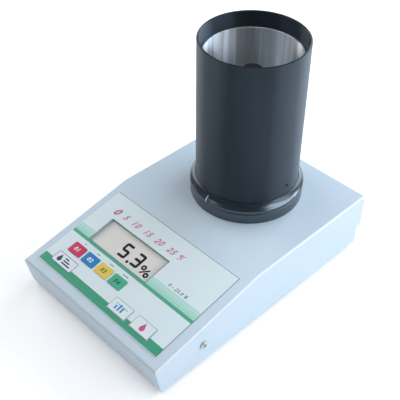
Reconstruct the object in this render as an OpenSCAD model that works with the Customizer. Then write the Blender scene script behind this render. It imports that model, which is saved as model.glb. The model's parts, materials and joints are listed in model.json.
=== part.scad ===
// Desk-top capacitance moisture meter: folded steel housing, sloping key panel, measuring cell.
// Frame: +X right, +Y to the back, +Z up. Origin: centre of the bounding box, on the resting plane.
// "Height" values of the housing count from its underside, those of the cell from the deck.

/* [Housing] */
// Width over the side walls
body_w = 147; // [144:1:152]
// Depth at deck level
body_l = 222; // [220:1:226]
// Height of the flat deck
deck_h = 45; // [44:0.5:47]
// Height of the front top edge
front_h = 25; // [24:0.5:26]
// Horizontal run of the sloping panel
slope_run = 100; // [98:1:104]
// Thickness of the steel sheet
sheet = 1.2; // [1:0.1:1.4]
// Outside radius of the folded edges
bend_r = 2; // [1.8:0.1:2.6]
// Distance of the rear wall from the rear edge of the cover
rear_inset = 5; // [5:0.5:6]
// Depth of the cut-back at the lower rear corner of each side wall
corner_cut_y = 4.5; // [3:0.5:5]
// Height of that cut-back
corner_cut_h = 15; // [10:1:18]
// Height of the rubber feet
foot_h = 3; // [3:0.5:4]
// Radius of a rubber foot
foot_r = 8; // [7:0.5:9]
// Distance of the side screws from the front edge
side_screw_y = 44.3; // [40:0.1:50]
// Height of the side screws
side_screw_h = 17; // [15:0.5:19]

/* [Panel] */
// Width of the printed overlay
overlay_w = 131; // [128:1:134]
// Length of the overlay up the slope
overlay_l = 82; // [81:0.5:84]
// Distance of the overlay from the front edge, up the slope
overlay_s = 8.6; // [8:0.1:9]
// Thickness of the overlay
overlay_t = 0.5; // [0.3:0.1:0.5]
// Width of the display window
window_w = 63.4; // [60:0.2:64]
// Length of the display window up the slope
window_l = 23.9; // [22:0.1:25]
// Left-right place of the display window
window_x = -17.1; // [-18:0.1:-16]
// Place of the display window up the slope
window_s = 56.8; // [56:0.1:58]
// Width of a grade key
grade_key_w = 13.4; // [12:0.1:14]
// Length of a grade key up the slope
grade_key_l = 9.7; // [9:0.1:10]
// Spacing of the four grade keys
grade_key_pitch = 15.3; // [15:0.1:16]
// Left-right place of the first grade key
grade_key_x = -47.3; // [-48:0.1:-46]
// Place of the grade keys up the slope
grade_key_s = 32; // [31:0.5:33]
// Width of the two command keys
command_key_w = 18.8; // [17:0.1:20]
// Length of the command keys up the slope
command_key_l = 10.9; // [10:0.1:11.5]
// Place of the command keys up the slope
command_key_s = 18.4; // [18:0.1:19]
// Left-right place of the averaging key
average_key_x = 17.6; // [16:0.1:19]
// Left-right place of the measuring key
measure_key_x = 41.5; // [40:0.1:43]
// Travel of a key
key_travel = 0.4; // [0.2:0.1:0.4]

/* [Measuring cell] */
// Distance of the cell's axis from the front edge
cell_y = 164; // [162:1:166]
// Outer radius of the tube
tube_r = 40; // [40:0.1:40.1]
// Wall of the tube under its mouth
tube_wall = 2.3; // [2.2:0.05:2.6]
// Radius of the seat in the tube's mouth
mouth_r = 38.25; // [38.2:0.05:38.5]
// Height of the tube's rim above the deck
tube_top = 133; // [120:1:150]
// Depth of the mouth's seat, down to the liner's top edge
mouth_depth = 11.5; // [8:0.5:15]
// Inner radius of the liner
liner_r = 35; // [34:0.1:35.2]
// Wall of the liner
liner_wall = 1.2; // [1:0.1:1.3]
// Radius of the centre electrode's cap
cap_r = 8; // [7:0.5:10]
// Depth of the cap's top under the rim
cap_depth = 24.8; // [20:0.1:40]
// Outer radius of the collar ring
collar_r = 44.35; // [44.3:0.05:45]
// Height of the collar ring's top
collar_top = 17; // [16:0.5:19]
// Height of the collar ring's bevel edge
bevel_h = 12.1; // [11.5:0.1:13]
// Height of the base flange
flange_h = 8.7; // [8:0.1:9]
// Radius of the base flange
flange_r = 44.1; // [44:0.05:44.3]
// Height of the small screws through the tube
tube_screw_h = 25.2; // [22:0.1:30]

/* [Power] */
// Left-right place of the battery drawer
drawer_x = 47; // [46.5:0.5:48]
// Left-right place of the power switch
switch_x = -45; // [-50:1:-40]
// Tilt of the power rocker to either side
rocker_tilt = 10; // [6:1:10]

/* [Hidden] */
$fn = 64;

gap = 0.3;                       // clearance between sheet parts
over = 1;                        // how far a cutter runs past the face it cuts
arc_steps = 8;                   // straight steps round a fold
slope_a = atan((deck_h - front_h) / slope_run);
front_recess = front_h * tan(slope_a);
front_tip = bend_r * (cos(slope_a) + sin(slope_a) - 1);
mid_y = (front_tip + body_l) / 2;
inner_w = body_w - 2 * sheet;
rear_y = body_l - rear_inset;    // outer face of the rear wall

// Heights below the panel's face, on the slope
board_n = -9;                    // upper face of the main board
board_t = 1.6;                   // thickness of the circuit boards
board_w = 124;
board_l = 80;
board_s = 49;                    // centre of the main board up the slope
lcd_n = -1.4;                    // upper face of the display glass
lcd_t = 2.8;
lcd_size = [68, 30];
board_posts = [for (x = [-57, 57], s = [13.5, 84.5]) [x, s]];
post_r = 3;
key_stem_r = 1.5;
key_pad_n = key_travel + 0.02;   // underside of a key pad above the cover
key_pad_t = 0.5;
stem_end_n = -7.5;
switch_top_n = -5.5;

// Screw sizes: shank radius, head radius, head height
m3 = [1.45, 3, 2];

// Cell
collar_clear = 0.05;             // between the tube and the rings round it
floor_h = 5;                     // height of the cell floor's rim
floor_boss_h = 8;                // height of the floor inside the liner
floor_rim_r = 41.5;
cell_screw_r = 33;               // pitch radius of the cell screws
deck_hole_r = 26;
stud_r = 3;
cap_t = 4;                       // height of the electrode's cap
sensor_h = -18.4;                // upper face of the sensor board
sensor_size = [56, 44];
sensor_posts = [for (x = [-24, 24], y = [-18, 18]) [x, y]];
sensor_spot = [20, 6];           // place of the temperature sensor on the floor

// Power parts, heights from the underside
bay_h = 21.3;                    // middle of the battery bay
bay_size = [33.2, 22.6];         // outside of the battery bay
bay_room = [30.6, 19.6];         // inside of the battery bay
bay_l = 60;
cell_9v = [26.5, 46, 17.5];      // block battery without its studs
switch_h = 22;
switch_size = [12.4, 18.4];
rocker_size = [10.2, 14.6];
rocker_room = [10.8, 15.4];
rocker_pin_r = 1;
bezel_t = 1.5;
foot_places = [for (x = [-58, 58], y = [20, 196]) [x, y]];
rear_screw_places = [[-20, 38], [20, 38]];
lead_h = 21;                     // height of the flat leads

// ---------- helpers ----------

// From the housing's own coordinates (front edge, underside) to the part's frame
module in_housing() {
    translate([0, -mid_y, foot_h]) children();
}

// On the sloping panel: X right, Y up the slope, Z out of the panel
module on_slope() {
    in_housing() translate([0, 0, front_h]) rotate([slope_a, 0, 0]) children();
}

// On the deck, at the cell's axis
module on_deck() {
    in_housing() translate([0, cell_y, deck_h]) children();
}

// A block given by its centre in X and Y and its lowest and highest Z
module block(centre, size, z0, z1) {
    translate([centre[0] - size[0] / 2, centre[1] - size[1] / 2, z0])
        cube([size[0], size[1], z1 - z0]);
}

// A flat rectangle with round corners
module rounded_rect(w, l, r) {
    square([w - 2 * r, l], center = true);
    square([w, l - 2 * r], center = true);
    for (x = [-1, 1], y = [-1, 1]) translate([x * (w / 2 - r), y * (l / 2 - r)]) circle(r, $fn = 24);
}

// A ring about Z
module ring(r_out, r_in, h) {
    difference() {
        cylinder(h, r_out, r_out, $fn = 96);
        translate([0, 0, -over]) cylinder(h + 2 * over, r_in, r_in, $fn = 96);
    }
}

// A pan-head screw: its head stands up from Z = 0, its shank goes down
module pan_screw(size, shank_l) {
    head_r = size[1];
    head_h = size[2];
    rim_h = head_h * 0.45;
    dome_h = head_h - rim_h;
    dome_r = (head_r * head_r + dome_h * dome_h) / (2 * dome_h);
    difference() {
        union() {
            cylinder(rim_h, head_r, head_r);
            intersection() {
                translate([0, 0, head_h - dome_r]) sphere(dome_r);
                cylinder(head_h + over, head_r, head_r);
            }
            translate([0, 0, -shank_l]) cylinder(shank_l + 0.1, size[0], size[0], $fn = 32);
        }
        for (a = [0, 90]) rotate(a)
            translate([-head_r * 0.56, -head_r * 0.12, head_h * 0.42])
                cube([head_r * 1.12, head_r * 0.24, head_h]);
    }
}

// A round post with a screw hole in its lower end, hanging from Z = 0
module post(r, l) {
    translate([0, 0, -l]) difference() {
        cylinder(l, r, r, $fn = 6);
        translate([0, 0, -over]) cylinder(l - 2, 1.5, 1.5, $fn = 32);
    }
}

// Points along an arc about c, from angle a0 to a1
function arc(c, r, a0, a1) = [
    for (i = [0 : arc_steps]) let (a = a0 + (a1 - a0) * i / arc_steps) c + r * [cos(a), sin(a)]
];

// Offset of a strip's edge from its middle line at point i, for a half-thickness of 1
function mitre(points, i) = let (
    last = len(points) - 1,
    before = points[max(i, 1)] - points[max(i, 1) - 1],
    after = points[min(i, last - 1) + 1] - points[min(i, last - 1)],
    b = before / norm(before),
    a = after / norm(after)
) [-a[1] - b[1], a[0] + b[0]] / (1 + a * b);

// A flat lead: a strip of the given thickness along points, drawn in its own plane
module strip(points, thickness, width) {
    last = len(points) - 1;
    linear_extrude(width) polygon([
        for (i = [0 : last]) points[i] + mitre(points, i) * thickness / 2,
        for (i = [last : -1 : 0]) points[i] - mitre(points, i) * thickness / 2
    ]);
}

// ---------- housing ----------

// Side view of the housing, set in by t from its outer faces and run on by "past" below and behind
module side_view(t, past) {
    u = [cos(slope_a), sin(slope_a)];            // up the slope
    w = [sin(slope_a), -cos(slope_a)];           // down the front wall
    c = [0, front_h] + bend_r * (u + w);         // centre of the front bend
    polygon(concat(
        [[front_recess + t / cos(slope_a) + past * tan(slope_a), -past]],
        arc(c, bend_r - t, 180 + slope_a, 90 + slope_a),
        [[slope_run + t * tan(slope_a / 2), deck_h - t]],
        [[body_l + past, deck_h - t], [body_l + past, -past]]
    ));
}

// A bar along Y from y0 to y1 with its two upper edges rounded, its top face at Z = -t
module edged_bar(t, y0, y1) {
    r = bend_r - t;
    w = body_w / 2 - t;
    foot = -2 * deck_h;
    translate([0, y1, 0]) rotate([90, 0, 0]) linear_extrude(y1 - y0) polygon(concat(
        [[w, foot]],
        arc([w - r, -bend_r], r, 0, 90),
        arc([r - w, -bend_r], r, 90, 180),
        [[-w, foot]]
    ));
}

// The housing's solid outline, set in by t. The two bars meet in a mitre at the knee.
module housing_block(t, past) {
    reach = 2 * body_l;
    intersection() {
        rotate([90, 0, 90]) translate([0, 0, -body_w]) linear_extrude(2 * body_w) side_view(t, past);
        translate([0, 0, front_h]) rotate([slope_a, 0, 0]) edged_bar(t, -reach, reach);
        translate([0, 0, deck_h]) edged_bar(t, -reach, reach);
    }
}

module top_cover() {
    color("#c4d2de") difference() {
        in_housing() difference() {
            housing_block(0, 0);
            housing_block(sheet, over);
            for (x = [-1, 1]) {
                // lower rear corners
                translate([x * body_w / 2 - 5, body_l - corner_cut_y, -over])
                    cube([10, corner_cut_y + over, corner_cut_h + over]);
                // side screw holes
                translate([x * body_w / 2, side_screw_y, side_screw_h]) rotate([0, 90, 0])
                    cylinder(10, 1.7, 1.7, center = true, $fn = 32);
            }
        }
        on_slope() {
            translate([window_x, window_s, -5])
                linear_extrude(10) square([window_w, window_l], center = true);
            for (k = key_places()) translate([k[0], k[1], -5]) cylinder(10, 2.2, 2.2, $fn = 32);
        }
        on_deck() {
            translate([0, 0, -5]) cylinder(10, deck_hole_r, deck_hole_r);
            for (a = [0 : 90 : 270]) rotate(a) translate([cell_screw_r, 0, -5])
                cylinder(10, 2.2, 2.2, $fn = 32);
        }
    }
}

module base_chassis() {
    plate_w = inner_w - 2 * gap;
    front = front_recess + sheet / cos(slope_a) + 2 * gap;
    tab = [22, 26];
    wall_h = deck_h - sheet - gap;
    color("#9aa3ab") in_housing() difference() {
        union() {
            translate([-plate_w / 2, front, 0]) cube([plate_w, rear_y - front, sheet]);
            translate([-plate_w / 2, rear_y - sheet, 0]) cube([plate_w, sheet, wall_h]);
            for (x = [-1, 1])
                translate([x * (plate_w - sheet) / 2 - sheet / 2, side_screw_y - tab[0] / 2, 0])
                    cube([sheet, tab[0], tab[1]]);
        }
        for (x = [-1, 1]) translate([x * plate_w / 2, side_screw_y, side_screw_h]) rotate([0, 90, 0])
            cylinder(6, 1.7, 1.7, center = true, $fn = 32);
        for (p = foot_places) translate([p[0], p[1], -over]) cylinder(5, 1.7, 1.7, $fn = 32);
        for (p = rear_screw_places) translate([p[0], rear_y, p[1]]) rotate([90, 0, 0])
            cylinder(6, 1.7, 1.7, center = true, $fn = 32);
        translate([drawer_x, rear_y, bay_h])
            cube([bay_size[0] + 0.4, 6, bay_size[1] + 0.4], center = true);
        translate([switch_x, rear_y, switch_h])
            cube([switch_size[0] + 0.4, 6, switch_size[1] + 0.4], center = true);
    }
}

module rear_bracket() {
    back = rear_y - sheet;
    top = deck_h - sheet;
    color("#9aa3ab") in_housing() difference() {
        union() {
            translate([-30, back - 12, top - sheet]) cube([60, 12, sheet]);
            translate([-30, back - sheet, top - 12]) cube([60, sheet, 12]);
        }
        for (p = rear_screw_places) translate([p[0], back, p[1]]) rotate([90, 0, 0])
            cylinder(6, 1.5, 1.5, center = true, $fn = 32);
    }
}

module side_screws() {
    color("#c9c9c6") in_housing() for (x = [-1, 1])
        translate([x * body_w / 2, side_screw_y, side_screw_h]) rotate([0, x * 90, 0]) rotate(20)
            pan_screw(m3, 8);
}

module side_nuts() {
    nut_x = inner_w / 2 - gap - sheet;
    color("#c9b27a") in_housing() for (x = [-1, 1])
        translate([x * nut_x, side_screw_y, side_screw_h]) rotate([0, -x * 90, 0]) difference() {
            cylinder(3, 3.2, 3.2, $fn = 6);
            translate([0, 0, -over]) cylinder(6, 1.5, 1.5, $fn = 32);
        }
}

module rear_screws() {
    color("#c9c9c6") in_housing() for (p = rear_screw_places)
        translate([p[0], rear_y, p[1]]) rotate([-90, 0, 0]) rotate(30) pan_screw(m3, 5);
}

module rubber_feet() {
    color("#2a2a2c") in_housing() for (p = foot_places) translate([p[0], p[1], -foot_h]) difference() {
        cylinder(foot_h, foot_r - 0.8, foot_r);
        translate([0, 0, -over]) cylinder(foot_h + 2 * over, 1.7, 1.7, $fn = 32);
        translate([0, 0, -over]) cylinder(over + foot_h - 0.8, 3.4, 3.4, $fn = 32);
    }
}

module foot_screws() {
    color("#c9c9c6") in_housing() for (p = foot_places)
        translate([p[0], p[1], -0.8]) rotate([180, 0, 0]) pan_screw(m3, 5);
}

module foot_nuts() {
    color("#c9b27a") in_housing() for (p = foot_places) translate([p[0], p[1], sheet]) difference() {
        cylinder(2.6, 3, 3, $fn = 6);
        translate([0, 0, -over]) cylinder(6, 1.5, 1.5, $fn = 32);
    }
}

// ---------- front panel ----------

function key_places() = [
    for (i = [0 : 3]) [grade_key_x + i * grade_key_pitch, grade_key_s, grade_key_w, grade_key_l],
    [average_key_x, command_key_s, command_key_w, command_key_l],
    [measure_key_x, command_key_s, command_key_w, command_key_l]
];

module graphic_overlay() {
    slack = 0.2;
    color("#d4e2e4") on_slope() difference() {
        translate([-0.5, overlay_s + overlay_l / 2]) linear_extrude(overlay_t)
            rounded_rect(overlay_w, overlay_l, 1.2);
        translate([window_x, window_s, -over]) linear_extrude(5) square([window_w, window_l], center = true);
        for (k = key_places()) translate([k[0], k[1], -over]) linear_extrude(5)
            rounded_rect(k[2] + 2 * slack, k[3] + 2 * slack, 1.4);
    }
}

module lcd_window() {
    color([0.9, 0.95, 0.95, 0.3]) on_slope() translate([window_x, window_s, -sheet])
        linear_extrude(sheet + 0.35) square([window_w - 0.1, window_l - 0.1], center = true);
}

module lcd_panel() {
    color("#c9cbc6") on_slope() block([window_x, window_s], lcd_size, lcd_n - lcd_t, lcd_n);
}

module lcd_holder() {
    color("#33363a") on_slope() difference() {
        block([window_x, window_s], lcd_size + [6, 6], board_n, lcd_n + 0.1);
        block([window_x, window_s], lcd_size + [0.4, 0.4], board_n - over, lcd_n + over);
    }
}

module lcd_contact_strips() {
    color("#5a5a60") on_slope() for (s = [-1, 1])
        block([window_x, window_s + s * 12.5], [60, 2.4], board_n, lcd_n - lcd_t);
}

// A key: the raised pad on the overlay and the stem that works the switch under it
module key(index, tint) {
    k = key_places()[index];
    color(tint) on_slope() translate([k[0], k[1], 0]) {
        translate([0, 0, key_pad_n]) linear_extrude(key_pad_t) rounded_rect(k[2], k[3], 1.2);
        translate([0, 0, stem_end_n])
            cylinder(key_pad_n + 0.1 - stem_end_n, key_stem_r, key_stem_r, $fn = 32);
    }
}

module key_grade_1() { key(0, "#c83264"); }
module key_grade_2() { key(1, "#1482be"); }
module key_grade_3() { key(2, "#e1c85a"); }
module key_grade_4() { key(3, "#4baf91"); }
module key_average() { key(4, "#dfe9e6"); }
module key_measure() { key(5, "#e4dfe4"); }

module main_board() {
    color("#1f6b45") on_slope() difference() {
        block([0, board_s], [board_w, board_l], board_n - board_t, board_n);
        for (p = board_posts) translate([p[0], p[1], board_n - 4]) cylinder(8, 1.6, 1.6, $fn = 32);
    }
}

module tact_switches() {
    color("#222326") on_slope() for (k = key_places()) difference() {
        block([k[0], k[1]], [6, 6], board_n, switch_top_n);
        translate([k[0], k[1], switch_top_n - 2.7])
            cylinder(4, key_stem_r + 0.2, key_stem_r + 0.2, $fn = 32);
    }
}

module board_chips() {
    under = board_n - board_t;
    color("#1c1d20") on_slope() {
        block([-14, 56], [14, 14], under - 1.8, under);
        block([14, 54], [10, 6], under - 1.6, under);
        block([-38, 40], [8, 5], under - 1.6, under);
    }
}

module board_capacitors() {
    under = board_n - board_t;
    color("#2b3b6b") on_slope() for (p = [[34, 40], [34, 50], [44, 44]])
        translate([p[0], p[1], under - 7]) cylinder(7, 3.2, 3.2, $fn = 32);
}

module board_connectors() {
    under = board_n - board_t;
    color("#e6e2d4") on_slope() {
        block([-15, 82], [12, 5], under - 6, under);
        block([34, 82], [8, 5], under - 8, under);
        block([-40, 82], [8, 5], under - 8, under);
    }
}

module board_standoffs() {
    color("#c9b27a") on_slope() for (p = board_posts) translate([p[0], p[1], -sheet])
        post(post_r, -board_n - sheet);
}

module board_screws() {
    color("#c9c9c6") on_slope() for (p = board_posts)
        translate([p[0], p[1], board_n - board_t]) rotate([180, 0, 0]) pan_screw(m3, 5);
}

// ---------- measuring cell ----------

module measuring_tube() {
    color("#26282c") on_deck() difference() {
        translate([0, 0, floor_h]) ring(tube_r, tube_r - tube_wall, tube_top - floor_h);
        translate([0, 0, tube_top - mouth_depth]) cylinder(mouth_depth + over, mouth_r, mouth_r, $fn = 96);
        for (a = [0, 180]) rotate(a) translate([tube_r, 0, tube_screw_h]) rotate([0, 90, 0])
            cylinder(8, 1.3, 1.3, center = true, $fn = 32);
    }
}

module insulating_sleeve() {
    sleeve_out = tube_r - tube_wall - 0.02;
    sleeve_in = liner_r + liner_wall + 0.02;
    color("#3c4046") on_deck() difference() {
        translate([0, 0, floor_h]) ring(sleeve_out, sleeve_in, tube_top - mouth_depth - 0.6 - floor_h);
        for (a = [0, 180]) rotate(a) translate([tube_r, 0, tube_screw_h]) rotate([0, 90, 0])
            cylinder(8, 1, 1, center = true, $fn = 32);
    }
}

module cell_liner() {
    color("#b9c2c8") on_deck() translate([0, 0, floor_h])
        ring(liner_r + liner_wall, liner_r, tube_top - mouth_depth - floor_h);
}

module collar_ring() {
    hole = tube_r + collar_clear;
    groove_h = flange_h + 0.2;
    color("#1b1e22") on_deck() rotate_extrude($fn = 96) polygon([
        [hole, groove_h], [collar_r - 0.8, groove_h], [collar_r - 0.8, groove_h + 0.4],
        [collar_r - 0.2, groove_h + 0.4], [collar_r, groove_h + 0.6], [collar_r, bevel_h],
        [tube_r + 0.5, collar_top], [hole, collar_top]
    ]);
}

module base_flange() {
    hole = tube_r + collar_clear;
    recess = floor_rim_r + collar_clear;
    color("#1b1e22") on_deck() rotate_extrude($fn = 96) polygon([
        [recess, 0], [flange_r, 0], [flange_r, flange_h - 0.5], [flange_r - 0.5, flange_h],
        [hole, flange_h], [hole, floor_h + 0.1], [recess, floor_h + 0.1]
    ]);
}

module cell_floor() {
    color("#e7e5dd") on_deck() difference() {
        union() {
            cylinder(floor_h, floor_rim_r, floor_rim_r, $fn = 96);
            cylinder(floor_boss_h, liner_r - 0.1, liner_r - 0.1, $fn = 96);
        }
        translate([0, 0, -over]) cylinder(floor_boss_h + 2 * over, stud_r + 0.1, stud_r + 0.1, $fn = 32);
        for (a = [0 : 90 : 270]) rotate(a) translate([cell_screw_r, 0, -over])
            cylinder(over + 4, 2, 2, $fn = 32);
        translate([sensor_spot[0], sensor_spot[1], -over])
            cylinder(floor_boss_h + 2 * over, 2.55, 2.55, $fn = 32);
    }
}

module centre_electrode() {
    color("#b9c2c8") on_deck() {
        translate([0, 0, floor_boss_h])
            cylinder(tube_top - cap_depth - cap_t - floor_boss_h, cap_r - 0.5, cap_r - 0.5);
        translate([0, 0, -10]) cylinder(floor_boss_h + 11, stud_r, stud_r, $fn = 32);
    }
}

module electrode_cap() {
    top = tube_top - cap_depth;
    color("#2a2d31") on_deck() translate([0, 0, top - cap_t]) rotate_extrude() {
        square([cap_r, cap_t - 1]);
        square([cap_r - 1, cap_t]);
        translate([cap_r - 1, cap_t - 1]) circle(1, $fn = 24);
    }
}

module electrode_washer() {
    color("#c9c9c6") on_deck() translate([0, 0, -1]) ring(7, stud_r + 0.15, 1);
}

module electrode_nut() {
    color("#c9b27a") on_deck() translate([0, 0, -6]) difference() {
        cylinder(5, 5.77, 5.77, $fn = 6);
        translate([0, 0, -over]) cylinder(5 + 2 * over, stud_r + 0.02, stud_r + 0.02, $fn = 32);
    }
}

module cell_screws() {
    color("#c9c9c6") on_deck() for (a = [0 : 90 : 270]) rotate(a)
        translate([cell_screw_r, 0, -sheet]) rotate([180, 0, 0]) pan_screw([1.95, 3.6, 2.2], 5);
}

module tube_screws() {
    color("#17181a") on_deck() for (a = [0, 180]) rotate(a)
        translate([tube_r - 0.7, 0, tube_screw_h]) rotate([0, -90, 0]) difference() {
            union() {
                cylinder(1, 1.25, 1.25, $fn = 32);
                cylinder(2.9, 0.95, 0.95, $fn = 32);
            }
            translate([0, 0, -over]) cylinder(over + 0.7, 0.65, 0.65, $fn = 6);
        }
}

module temperature_sensor() {
    color("#c9c9c6") on_deck() translate([sensor_spot[0], sensor_spot[1], -4]) {
        cylinder(4, 2, 2, $fn = 32);
        translate([0, 0, 3.9]) cylinder(floor_boss_h + 0.5, 2.5, 2.5, $fn = 32);
    }
}

module sensor_board() {
    color("#1f6b45") on_deck() difference() {
        block([0, 0], sensor_size, sensor_h - board_t, sensor_h);
        for (p = sensor_posts) translate([p[0], p[1], sensor_h - 4]) cylinder(8, 1.6, 1.6, $fn = 32);
    }
}

module sensor_shield_can() {
    color("#c9c9c6") on_deck() difference() {
        block([-4, 0], [26, 20], sensor_h, sensor_h + 5);
        block([-4, 0], [25.2, 19.2], sensor_h - over, sensor_h + 4.6);
    }
}

module sensor_board_connector() {
    color("#e6e2d4") on_deck() block([-15, -18], [12, 5], sensor_h, sensor_h + 6);
}

module sensor_board_standoffs() {
    color("#c9b27a") on_deck() for (p = sensor_posts) translate([p[0], p[1], -sheet])
        post(2.8, -sensor_h - sheet);
}

module sensor_board_screws() {
    color("#c9c9c6") on_deck() for (p = sensor_posts)
        translate([p[0], p[1], sensor_h - board_t]) rotate([180, 0, 0]) pan_screw(m3, 5);
}

// Ribbon cable from the main board's middle connector to the sensor board's
module sensor_ribbon() {
    start = [82 * cos(slope_a) + 17 * sin(slope_a), front_h + 82 * sin(slope_a) - 17 * cos(slope_a)];
    end = [cell_y - 18, deck_h + sensor_h + 6.4];
    color("#8a8f96") in_housing() translate([-20, 0, 0]) rotate([90, 0, 90])
        strip([start, start + [4, -1], start + [20, 1], end - [16, 0], end], 0.8, 10);
}

// Short lead from the electrode's nut down to the sensor board
module electrode_lead() {
    color("#a33b32") on_deck() translate([0, -0.6, 0]) rotate([90, 0, 0]) translate([0, 0, -0.6])
        strip([[4, -6.5], [12, -6.5], [15, -10], [15, -18.4]], 1.0, 1.2);
}

// ---------- power ----------

module battery_housing() {
    color("#26272a") in_housing() translate([drawer_x, 0, bay_h]) difference() {
        union() {
            translate([-bay_size[0] / 2, rear_y - bay_l, -bay_size[1] / 2])
                cube([bay_size[0], bay_l, bay_size[1]]);
            translate([-20, rear_y, -14]) cube([40, bezel_t, 28]);
        }
        translate([-bay_room[0] / 2, rear_y - bay_l + 1.5, -bay_room[1] / 2])
            cube([bay_room[0], bay_l + 5, bay_room[1]]);
    }
}

module battery_contacts() {
    color("#c9b27a") in_housing() for (x = [-1, 1])
        translate([drawer_x + x * 6.35 - 4, rear_y - bay_l + 1.5, bay_h - 5]) cube([8, 5.4, 10]);
}

module battery_drawer() {
    face_y = rear_y + bezel_t + 0.1;
    tray_w = bay_room[0] - 0.8;
    tray_z = -bay_room[1] / 2 + 0.4;
    tray_y = rear_y - bay_l + 9.2;
    block_y = tray_y + 1.2 + 0.1 + cell_9v[1] + 0.2;
    lip = [3.2, 1.2];
    color("#303236") in_housing() translate([drawer_x, 0, bay_h]) difference() {
        union() {
            translate([-18.5, face_y, -12.5]) cube([37, 2.4, 25]);
            translate([-tray_w / 2, tray_y, tray_z]) cube([tray_w, face_y + 0.1 - tray_y, 1]);
            for (x = [-1, 1]) {
                translate([x * (tray_w - 1.2) / 2 - 0.6, tray_y, tray_z])
                    cube([1.2, face_y + 0.1 - tray_y, 13]);
                translate([x * (tray_w / 2 - 0.1 - lip[0] / 2) - lip[0] / 2, tray_y, tray_z])
                    cube([lip[0], lip[1], 13]);
            }
            translate([-tray_w / 2, block_y, tray_z]) cube([tray_w, face_y + 0.1 - block_y, 13]);
        }
        translate([0, face_y + 3.4, 0]) rotate([0, 90, 0]) cylinder(16, 2, 2, center = true, $fn = 32);
    }
}

module battery() {
    start = rear_y - bay_l + 9.2 + 1.3;
    tray_z = -bay_room[1] / 2 + 1.5;
    color("#8c6d2f") in_housing() translate([drawer_x, start, bay_h + tray_z]) {
        translate([-cell_9v[0] / 2, 0, 0]) cube(cell_9v);
        for (x = [-1, 1]) translate([x * 6.35, 0.1, cell_9v[2] / 2]) rotate([90, 0, 0])
            cylinder(2.6, 2.8, 2.8, $fn = 32);
    }
}

// Flat two-wire leads, laid level inside the housing
module battery_leads() {
    color("#a33b32") in_housing() translate([0, 0, lead_h])
        strip([[drawer_x, rear_y - bay_l], [drawer_x, 140], [34, 120], [34, 85]], 2.4, 1.2);
}

module switch_body() {
    color("#1f2023") in_housing() translate([switch_x, rear_y, switch_h]) difference() {
        union() {
            translate([0, -9 + 0.1, 0]) cube([switch_size[0], 18.2, switch_size[1]], center = true);
            translate([0, bezel_t / 2, 0]) cube([15, bezel_t, 21], center = true);
        }
        translate([0, bezel_t - 5, 0]) cube([rocker_room[0], 10.02, rocker_room[1]], center = true);
        translate([0, -1.2, 0]) rotate([0, 90, 0])
            cylinder(switch_size[0] - 0.4, r = rocker_pin_r + 0.05, center = true, $fn = 32);
    }
}

// The rocker, drawn level and then tipped to its "on" side
module switch_rocker() {
    half = rocker_size[1] / 2;
    face = 3.0;                                   // face above the pivot, at the middle
    rise = half * tan(rocker_tilt);
    color("#2b2c30") in_housing() translate([switch_x, rear_y - 1.2, switch_h]) rotate([rocker_tilt, 0, 0]) {
        rotate([90, 0, 90]) translate([0, 0, -rocker_size[0] / 2]) linear_extrude(rocker_size[0]) polygon([
            [-2.5, -3], [face - 2.2, -half + 0.3], [face + rise, -half + 0.3], [face, 0],
            [face + rise, half - 0.3], [face - 2.2, half - 0.3], [-2.5, 3]
        ]);
        rotate([0, 90, 0]) cylinder(rocker_size[0] + 1.4, r = rocker_pin_r, center = true, $fn = 32);
    }
}

module switch_terminals() {
    color("#c9b27a") in_housing() for (z = [-5, 5])
        translate([switch_x - 2.4, rear_y - 26, switch_h + z - 0.4]) cube([4.8, 8, 0.8]);
}

module switch_leads() {
    color("#33343a") in_housing() translate([0, 0, lead_h])
        strip([[switch_x, rear_y - 18.1], [switch_x, 120], [-40, 105], [-40, 85]], 2.4, 1.2);
}

top_cover();
base_chassis();
rear_bracket();
side_screws();
side_nuts();
rear_screws();
rubber_feet();
foot_screws();
foot_nuts();
graphic_overlay();
lcd_window();
lcd_panel();
lcd_holder();
lcd_contact_strips();
key_grade_1();
key_grade_2();
key_grade_3();
key_grade_4();
key_average();
key_measure();
main_board();
tact_switches();
board_chips();
board_capacitors();
board_connectors();
board_standoffs();
board_screws();
measuring_tube();
insulating_sleeve();
cell_liner();
collar_ring();
base_flange();
cell_floor();
centre_electrode();
electrode_cap();
electrode_washer();
electrode_nut();
cell_screws();
tube_screws();
temperature_sensor();
sensor_board();
sensor_shield_can();
sensor_board_connector();
sensor_board_standoffs();
sensor_board_screws();
sensor_ribbon();
electrode_lead();
battery_housing();
battery_contacts();
battery_drawer();
battery();
battery_leads();
switch_body();
switch_rocker();
switch_terminals();
switch_leads();
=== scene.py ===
"""Desk-top moisture meter: the looks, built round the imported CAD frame.

Sizes are in metres. Places and sizes on the sloping panel are in mm.
"""

import json
import math

import bmesh
import bpy
from mathutils import Matrix, Vector


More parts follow.
